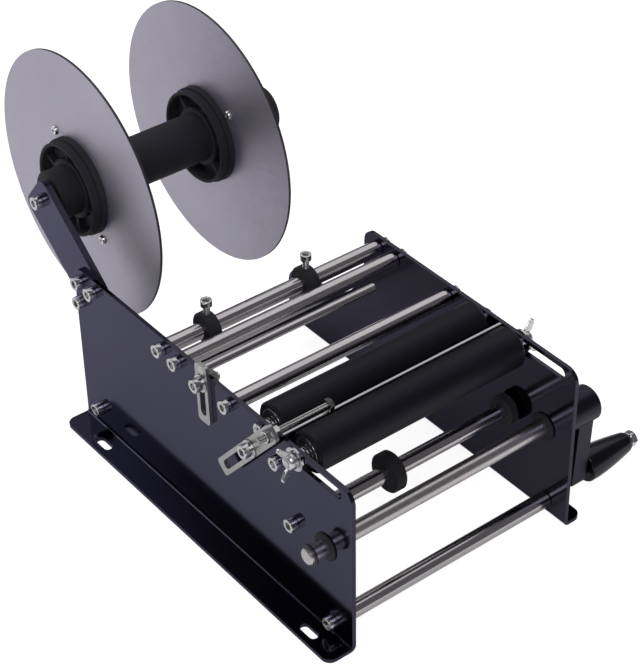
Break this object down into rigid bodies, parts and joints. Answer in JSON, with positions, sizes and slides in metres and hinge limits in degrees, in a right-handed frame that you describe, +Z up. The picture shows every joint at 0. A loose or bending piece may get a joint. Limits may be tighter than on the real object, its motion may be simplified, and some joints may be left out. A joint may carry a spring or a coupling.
{
  "type": "bottle labeling machine",
  "caption": "Hand-cranked bench labeling machine: sheet-metal side plates, cross bars, a label reel on an arm, a roller cradle for a bottle, a peel edge and a crank that winds the backing strip",
  "frame": {"origin": "centre of the overall box, on the bench plane", "axes": "+X along the bars from the reel arm's plate towards the crank, +Y from the rollers to the reel, +Z up"},
  "size_m": [0.3002, 0.464, 0.2707],
  "materials": {
    "black_paint": "glossy black coat on sheet metal",
    "steel": "turned and polished",
    "zinc": "bright zinc plate",
    "chrome": "bright chrome",
    "black_plastic": "turned black plastic",
    "black_oxide": "black oxide",
    "disc_grey": "satin grey sheet",
    "rubber": "smooth black rubber"
  },
  "bodies": {
    "frame": {"left_side_plate": "black_paint", "right_side_plate": "black_paint", "reel_arm": "black_paint", "reel_arm_screws": "zinc", "rear_top_bar": "steel", "second_bar": "steel", "third_bar": "steel", "rear_bottom_bar": "steel", "front_bottom_bar": "steel", "liner_bar": "steel", "frame_screws": "zinc", "peel_plate": "steel", "winder_bushes": "black_plastic", "reel_spindle": "steel", "reel_spindle_screw": "zinc", "rear_roller_axle": "steel", "rear_roller_spacers": "zinc", "rear_roller_nuts": "zinc"},
    "crank": {"winder_shaft": "steel", "winder_snap_ring": "black_oxide", "crank_arm": "black_paint", "crank_set_screw": "black_oxide", "handle_spindle": "zinc", "handle_nut": "chrome"},
    "handle": {"handle_grip": "black_plastic"},
    "reel": {"reel_tube": "black_plastic", "reel_bushes": "black_plastic"},
    "inner_flange": {"inner_hub": "black_plastic", "inner_disc": "disc_grey", "inner_disc_screws": "zinc"},
    "outer_flange": {"outer_hub": "black_plastic", "outer_disc": "disc_grey", "outer_disc_screws": "zinc"},
    "rear_roller": {"rear_roller_sleeve": "rubber", "rear_roller_core": "steel", "rear_roller_bearings": "steel"},
    "carriage": {"front_roller_axle": "zinc", "front_roller_washers": "zinc", "front_roller_spacers": "zinc"},
    "wing_left": {"wing_nut_left": "zinc"},
    "wing_right": {"wing_nut_right": "zinc"},
    "front_roller": {"front_roller_sleeve": "rubber", "front_roller_core": "steel", "front_roller_bearings": "steel"},
    "guide_left": {"guide_collar_left": "black_plastic", "guide_screw_left": "zinc"},
    "guide_right": {"guide_collar_right": "black_plastic", "guide_screw_right": "zinc"},
    "liner_left": {"liner_collar_left": "black_plastic"},
    "liner_right": {"liner_collar_right": "black_plastic"},
    "tension_clamp": {"tension_clamp_screw": "zinc", "tension_clamp_nut": "zinc"},
    "tension_arm": {"tension_bracket": "zinc", "tension_rod": "steel"},
    "stop_clamp": {"stop_clamp_screw": "zinc", "stop_clamp_nut": "zinc"},
    "stop_arm": {"stop_bracket": "zinc", "stop_nuts": "zinc"},
    "stop_rod": {"stop_bolt": "zinc"}
  },
  "joints": [
    {"name": "crank_turn", "type": "hinge", "parent": "frame", "child": "crank", "pos_m": [-0.0296, -0.205, 0.075], "axis": [1, 0, 0], "continuous": true},
    {"name": "handle_spin", "type": "hinge", "parent": "crank", "child": "handle", "pos_m": [0.1254, -0.20971, 0.02121], "axis": [1, 0, 0], "continuous": true},
    {"name": "reel_spin", "type": "hinge", "parent": "frame", "child": "reel", "pos_m": [-0.0296, 0.129, 0.1677], "axis": [1, 0, 0], "continuous": true},
    {"name": "inner_flange_slide", "type": "slide", "parent": "reel", "child": "inner_flange", "axis": [1, 0, 0], "range_m": [-0.008, 0.02]},
    {"name": "outer_flange_slide", "type": "slide", "parent": "reel", "child": "outer_flange", "axis": [1, 0, 0], "range_m": [-0.04, 0.03]},
    {"name": "rear_roller_spin", "type": "hinge", "parent": "frame", "child": "rear_roller", "pos_m": [-0.0326, -0.1385, 0.1295], "axis": [1, 0, 0], "continuous": true},
    {"name": "front_roller_adjust", "type": "slide", "parent": "frame", "child": "carriage", "axis": [0, 1, 0], "range_m": [-0.0415, 0.0005]},
    {"name": "front_roller_spin", "type": "hinge", "parent": "carriage", "child": "front_roller", "pos_m": [-0.0326, -0.175, 0.1295], "axis": [1, 0, 0], "continuous": true},
    {"name": "wing_nut_left_turn", "type": "hinge", "parent": "carriage", "child": "wing_left", "pos_m": [-0.1356, -0.175, 0.1295], "axis": [1, 0, 0], "range_deg": [-90, 90]},
    {"name": "wing_nut_right_turn", "type": "hinge", "parent": "carriage", "child": "wing_right", "pos_m": [0.0704, -0.175, 0.1295], "axis": [1, 0, 0], "range_deg": [-90, 90]},
    {"name": "guide_left_slide", "type": "slide", "parent": "frame", "child": "guide_left", "axis": [1, 0, 0], "range_m": [-0.025, 0.06]},
    {"name": "guide_right_slide", "type": "slide", "parent": "frame", "child": "guide_right", "axis": [1, 0, 0], "range_m": [-0.015, 0.055]},
    {"name": "liner_left_slide", "type": "slide", "parent": "frame", "child": "liner_left", "axis": [1, 0, 0], "range_m": [-0.07, 0.08]},
    {"name": "liner_right_slide", "type": "slide", "parent": "frame", "child": "liner_right", "axis": [1, 0, 0], "range_m": [-0.01, 0.002]},
    {"name": "tension_swing", "type": "hinge", "parent": "frame", "child": "tension_clamp", "pos_m": [-0.1296, -0.076, 0.131], "axis": [-1, 0, 0], "range_deg": [-28, 24]},
    {"name": "tension_slide", "type": "slide", "parent": "tension_clamp", "child": "tension_arm", "axis": [0, 0.0349, 0.9994], "range_m": [0, 0.022]},
    {"name": "stop_swing", "type": "hinge", "parent": "frame", "child": "stop_clamp", "pos_m": [-0.1296, -0.1362, 0.1164], "axis": [-1, 0, 0], "range_deg": [0, 35]},
    {"name": "stop_slide", "type": "slide", "parent": "stop_clamp", "child": "stop_arm", "axis": [0, -0.6494, 0.7604], "range_m": [0, 0.036]},
    {"name": "stop_bolt_slide", "type": "slide", "parent": "stop_arm", "child": "stop_rod", "axis": [1, 0, 0], "range_m": [-0.018, 0.004]}
  ]
}
